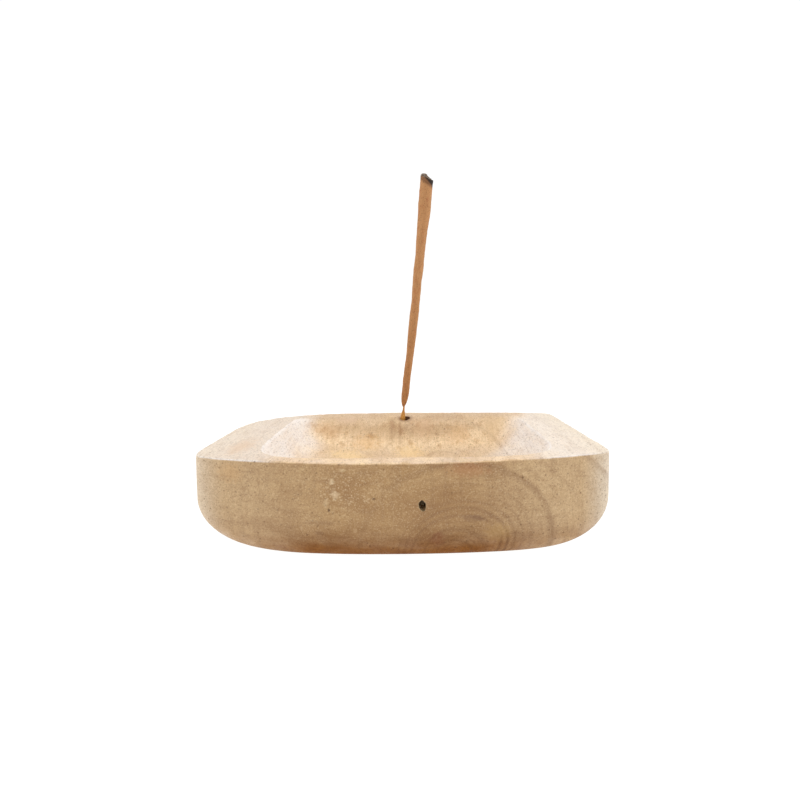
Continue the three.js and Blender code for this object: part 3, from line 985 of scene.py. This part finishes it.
def paste_material():
    """Dry rolled incense paste: red-brown, powdery and specked."""
    s = Shader("rolled_paste", specular=0.25)
    colour = s.mix(s.noise((1.8, 1.8, 6), 3.0), srgb(194, 144, 98), srgb(170, 119, 76))
    red = s.remap(s.noise((1.1, 1.1, 3.4), 3.0, offset=(6, 1, 4)), 0.52, 0.70)
    colour = s.mix(s.times(red, 0.5), colour, srgb(164, 90, 56))
    powder = s.noise((0.16, 0.16, 0.2), 3.0, 0.7)
    colour = s.mix(s.remap(powder, 0.42, 0.72, 0.0, 0.35), colour, srgb(224, 180, 134))
    specks = s.dots((0.55, 0.55, 0.8), 0.30, (3, 3, 3))
    colour = s.mix(s.times(specks, 0.5), colour, srgb(92, 54, 34))
    # The paste is darker towards its foot, and the top is scorched where the burning stopped.
    x, _, up = s.split(s.place)
    colour = s.mix(s.remap(up, 40, 6, 0.0, 0.25), colour, srgb(160, 104, 60))
    tilt = math.tan(math.radians(BURN_LINE[1]))
    above = s.plus(up, s.times(x, tilt))
    ragged = s.plus(above, s.times(s.noise((0.7, 0.7, 0.7), 3.0), 1.4))
    scorched = s.remap(ragged, BURN_LINE[0] - 0.6, BURN_LINE[0] + 1.1, 0.0, 0.8)
    colour = s.mix(scorched, colour, srgb(92, 60, 42))
    grain = s.plus(powder, s.times(s.noise((0.5, 0.5, 0.9), 3.0), 0.8))
    rough = s.remap(powder, 0.3, 0.7, 0.82, 0.98)
    return s.finish(colour, rough, grain, bump=0.7, depth=0.14)


def char_material():
    """Black char, browner where it is only half burnt below the slanted break."""
    s = Shader("char", roughness=0.9, specular=0.3)
    flakes = s.noise((0.5, 0.5, 0.4), 4.0, 0.65)
    colour = s.mix(s.remap(flakes, 0.35, 0.7), srgb(24, 19, 17), srgb(70, 56, 48))
    x, _, up = s.split(s.place)
    slope = math.tan(math.radians(TIP_CUT[1]))
    above = s.plus(up, s.times(x, slope))
    ragged = s.plus(above, s.times(flakes, 0.9))
    half_burnt = s.remap(ragged, TIP_CUT[0] - 0.5, TIP_CUT[0] - 1.5, 0.0, 0.9)
    colour = s.mix(half_burnt, colour, srgb(140, 98, 66))
    return s.finish(colour, None, flakes, bump=0.9, depth=0.2)


def ash_material():
    """Flaky grey-brown ash, blackened towards +X."""
    s = Shader("ash", roughness=1.0, specular=0.15)
    flakes = s.noise((0.6, 0.6, 0.35), 4.0, 0.65)
    colour = s.mix(s.remap(flakes, 0.35, 0.65), srgb(70, 56, 48), srgb(152, 134, 118))
    right = s.remap(s.split(s.place)[0], 0.2, 2.0)
    colour = s.mix(s.times(right, 0.7), colour, srgb(40, 32, 28))
    return s.finish(colour, None, flakes, bump=0.9, depth=0.22)


# ------------------------------------------------------------------------------- stage, light and camera

def make_floor():
    """A large plain white floor, lit from within so that the object casts only a faint shadow on it."""
    size = FLOOR_HALF
    corners = [(-size, -size, 0), (size, -size, 0), (size, size, 0), (-size, size, 0)]
    floor = new_object("floor", corners, [(0, 1, 2, 3)])
    material = bpy.data.materials.new("floor_white")
    material.use_nodes = True
    surface = material.node_tree.nodes["Principled BSDF"]
    surface.inputs["Base Color"].default_value = (FLOOR_TONE, FLOOR_TONE, FLOOR_TONE, 1)
    surface.inputs["Roughness"].default_value = 0.9
    surface.inputs["Specular IOR Level"].default_value = 0.1
    surface.inputs["Emission Color"].default_value = (1, 1, 1, 1)
    surface.inputs["Emission Strength"].default_value = FLOOR_GLOW
    floor.data.materials.append(material)


def make_world():
    """A white studio: bright at the horizon and behind the object, dimmer high up on the camera's side."""
    world = bpy.data.worlds.new("studio")
    bpy.context.scene.world = world
    world.use_nodes = True
    nodes, links = world.node_tree.nodes, world.node_tree.links
    direction = nodes.new("ShaderNodeTexCoord").outputs["Generated"]
    split = nodes.new("ShaderNodeSeparateXYZ")
    links.new(direction, split.inputs[0])

    def fade(value, low, high, to_low=0.0, to_high=1.0):
        node = nodes.new("ShaderNodeMapRange")
        node.interpolation_type = "SMOOTHSTEP"
        links.new(value, node.inputs["Value"])
        limits = {"From Min": low, "From Max": high, "To Min": to_low, "To Max": to_high}
        for key, number in limits.items():
            node.inputs[key].default_value = number
        return node.outputs["Result"]

    dim = nodes.new("ShaderNodeMath")
    dim.operation = "MULTIPLY"
    links.new(fade(split.outputs["Z"], 0.30, 0.55), dim.inputs[0])
    links.new(fade(split.outputs["Y"], 0.3, -0.5), dim.inputs[1])
    background = nodes["Background"]
    links.new(fade(dim.outputs[0], 0.0, 1.0, HORIZON_GLOW, OVERHEAD_GLOW), background.inputs["Strength"])
    background.inputs["Color"].default_value = (1, 1, 1, 1)


def area_light(name, at, power):
    """A soft, round white light that points at the block. Its place is in metres and its power in watts."""
    data = bpy.data.lights.new(name, "AREA")
    data.shape = "DISK"
    data.size = LIGHT_SIZE
    data.energy = power
    light = bpy.data.objects.new(name, data)
    bpy.context.scene.collection.objects.link(light)
    light.location = at
    towards = LIGHT_TARGET - Vector(at)
    light.rotation_euler = towards.to_track_quat("-Z", "Y").to_euler()


def make_lights():
    area_light("top_light", (0.03, -0.05, 0.9), 3.4)
    area_light("left_light", (-0.9, 0.2, 0.5), 1.5)
    area_light("right_light", (0.9, 0.1, 0.5), 2.2)


def make_camera():
    """The camera stands before the block, a little above it, and looks slightly down."""
    yaw, pitch, roll = (math.radians(a) for a in (CAMERA_YAW, CAMERA_PITCH, CAMERA_ROLL))
    level = Vector((math.cos(yaw), math.sin(yaw), 0))
    ahead = Vector((-math.sin(yaw), math.cos(yaw), 0))
    forward = math.cos(pitch) * ahead - Vector((0, 0, math.sin(pitch)))
    upright = level.cross(forward)
    right = math.cos(roll) * level + math.sin(roll) * upright
    up = math.cos(roll) * upright - math.sin(roll) * level
    data = bpy.data.cameras.new("camera")
    data.sensor_width = SENSOR
    data.lens = CAMERA_LENS
    data.clip_start = 0.01
    camera = bpy.data.objects.new("camera", data)
    bpy.context.scene.collection.objects.link(camera)
    turn = Matrix((right, up, -forward)).transposed().to_4x4()
    camera.matrix_world = Matrix.Translation(CAMERA_AT) @ turn
    bpy.context.scene.camera = camera


# ----------------------------------------------------------------------------------------------- build

def place_piece(piece, body, node):
    """Says which body a piece rides on and which CAD node it replaces."""
    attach(piece, body)
    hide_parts(node)


bpy.context.scene.view_settings.view_transform = "Standard"
make_camera()
make_world()
make_lights()
make_floor()
on_stick = stick_matrix()
place_piece(make_dish(on_stick, wood_material()), "dish", "dish")
place_piece(make_splint(on_stick, bamboo_material()), "stick", "splint")
place_piece(make_paste(on_stick, paste_material()), "stick", "incense_paste")
place_piece(make_char(on_stick, char_material()), "stick", "charred_collar")
place_piece(make_ash(on_stick, ash_material()), "stick", "ash_tip")
